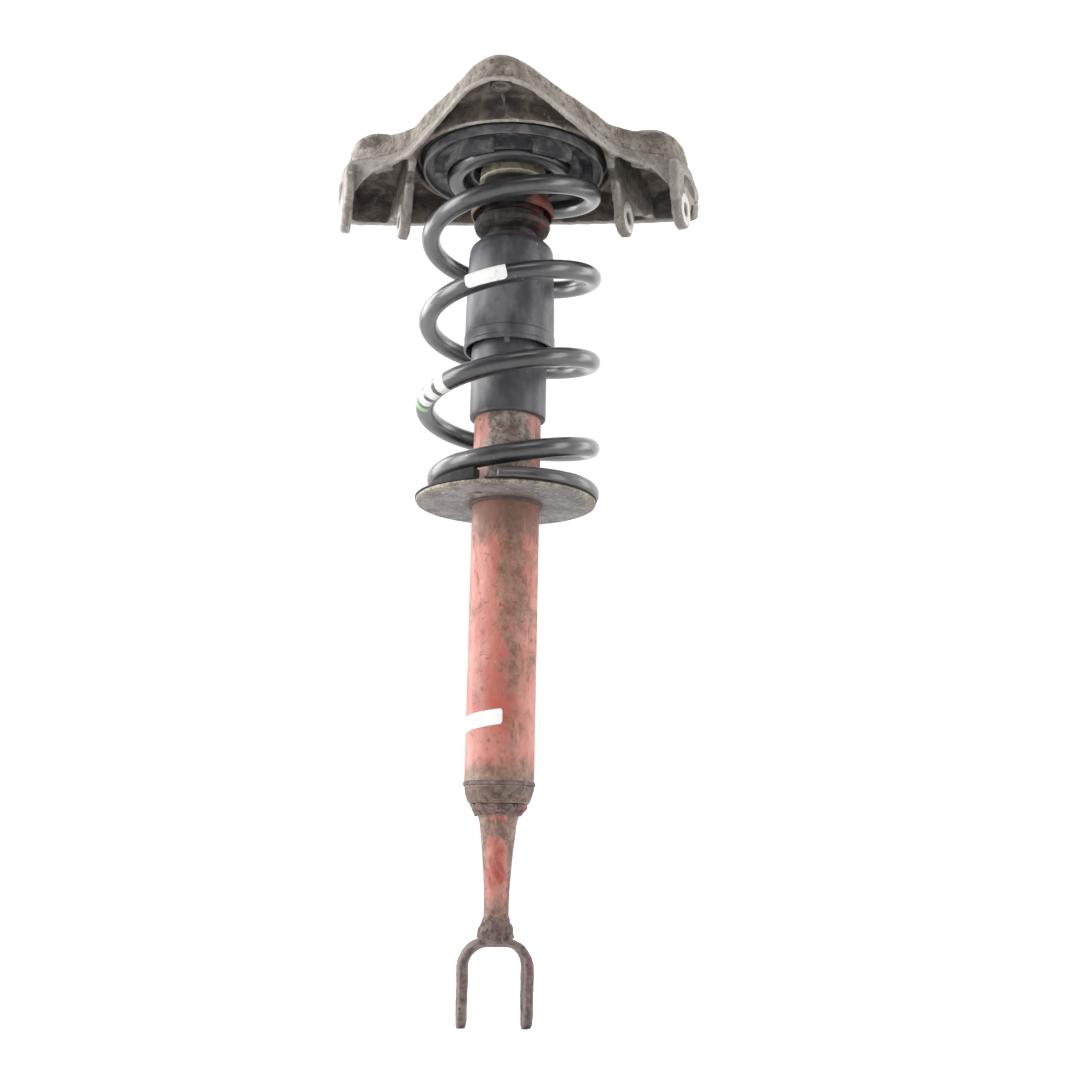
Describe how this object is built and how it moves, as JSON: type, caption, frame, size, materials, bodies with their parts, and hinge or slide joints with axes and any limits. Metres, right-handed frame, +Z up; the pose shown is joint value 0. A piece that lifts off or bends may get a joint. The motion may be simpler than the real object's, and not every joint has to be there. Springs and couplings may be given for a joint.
{
  "type": "suspension strut assembly",
  "caption": "Front suspension strut with coil spring, telescopic damper, rubber top mount, cast top bracket with arm ears, and fork foot.",
  "frame": {"origin": "centre of the fork's bolt hole, on the damper axis", "axes": "+Z up along the damper axis to the top bracket, -Y toward the bracket's pointed end, +X to the right seen from there; the fork bolt lies 5 degrees from +X and the bracket is turned -5 degrees"},
  "size_m": [0.2988, 0.23, 0.6841],
  "materials": {
    "cast_bracket": "as cast, weathered",
    "mount_steel": "black coating",
    "mount_rubber": "matt",
    "zinc_steel": "zinc plated, dull",
    "seat_black": "black coating, dusty",
    "pad_rubber": "matt, dusty",
    "cup_steel": "dull, rust-flecked",
    "stop_foam": "matt",
    "sleeve_plastic": "dusty",
    "cover_plastic": "dusty",
    "rod_chrome": "ground and plated",
    "valve_steel": "satin",
    "band_plastic": "bronze-filled",
    "spring_coat": "black powder coat, satin",
    "tube_paint": "faded red paint, greasy and chipped",
    "inner_steel": "drawn steel",
    "guide_metal": "sintered",
    "seal_rubber": "satin",
    "cap_steel": "pressed",
    "clip_steel": "spring steel, oiled",
    "seat_zinc": "grey coating with tan corrosion",
    "foot_paint": "worn red paint over brown-grey steel"
  },
  "bodies": {
    "upper": {"strut_bracket": "cast_bracket", "mount_plate": "mount_steel", "mount_rubber": "mount_rubber", "mount_sleeve": "zinc_steel", "mount_screws": "zinc_steel", "rod_washer": "zinc_steel", "rod_nut": "zinc_steel", "top_spring_seat": "seat_black", "top_spring_pad": "pad_rubber", "bump_stop_cup": "cup_steel", "bump_stop": "stop_foam", "outer_dust_sleeve": "sleeve_plastic", "piston_rod": "rod_chrome", "rebound_stop": "valve_steel", "piston": "guide_metal", "piston_band": "band_plastic", "valve_shims": "valve_steel", "piston_nut": "zinc_steel", "coil_spring": "spring_coat"},
    "seat": {"lower_spring_seat": "seat_zinc", "lower_spring_pad": "pad_rubber"},
    "foot": {"damper_tube": "tube_paint", "pressure_cylinder": "inner_steel", "base_valve": "guide_metal", "rod_guide": "guide_metal", "rod_bush": "band_plastic", "rod_seal": "seal_rubber", "tube_cap": "cap_steel", "inner_dust_tube": "cover_plastic", "seat_circlip": "clip_steel", "end_cap": "foot_paint", "stem": "foot_paint", "welds": "foot_paint", "fork": "foot_paint"}
  },
  "joints": [
    {"name": "strut_travel", "type": "slide", "parent": "upper", "child": "seat", "axis": [0, 0, 1], "range_m": [0, 0.08], "stiffness_N_per_m": 45000, "springref_m": -0.058, "deforming": ["coil_spring"]},
    {"name": "foot_swivel", "type": "hinge", "parent": "seat", "child": "foot", "pos_m": [0, 0, 0], "axis": [0, 0, 1], "continuous": true}
  ]
}
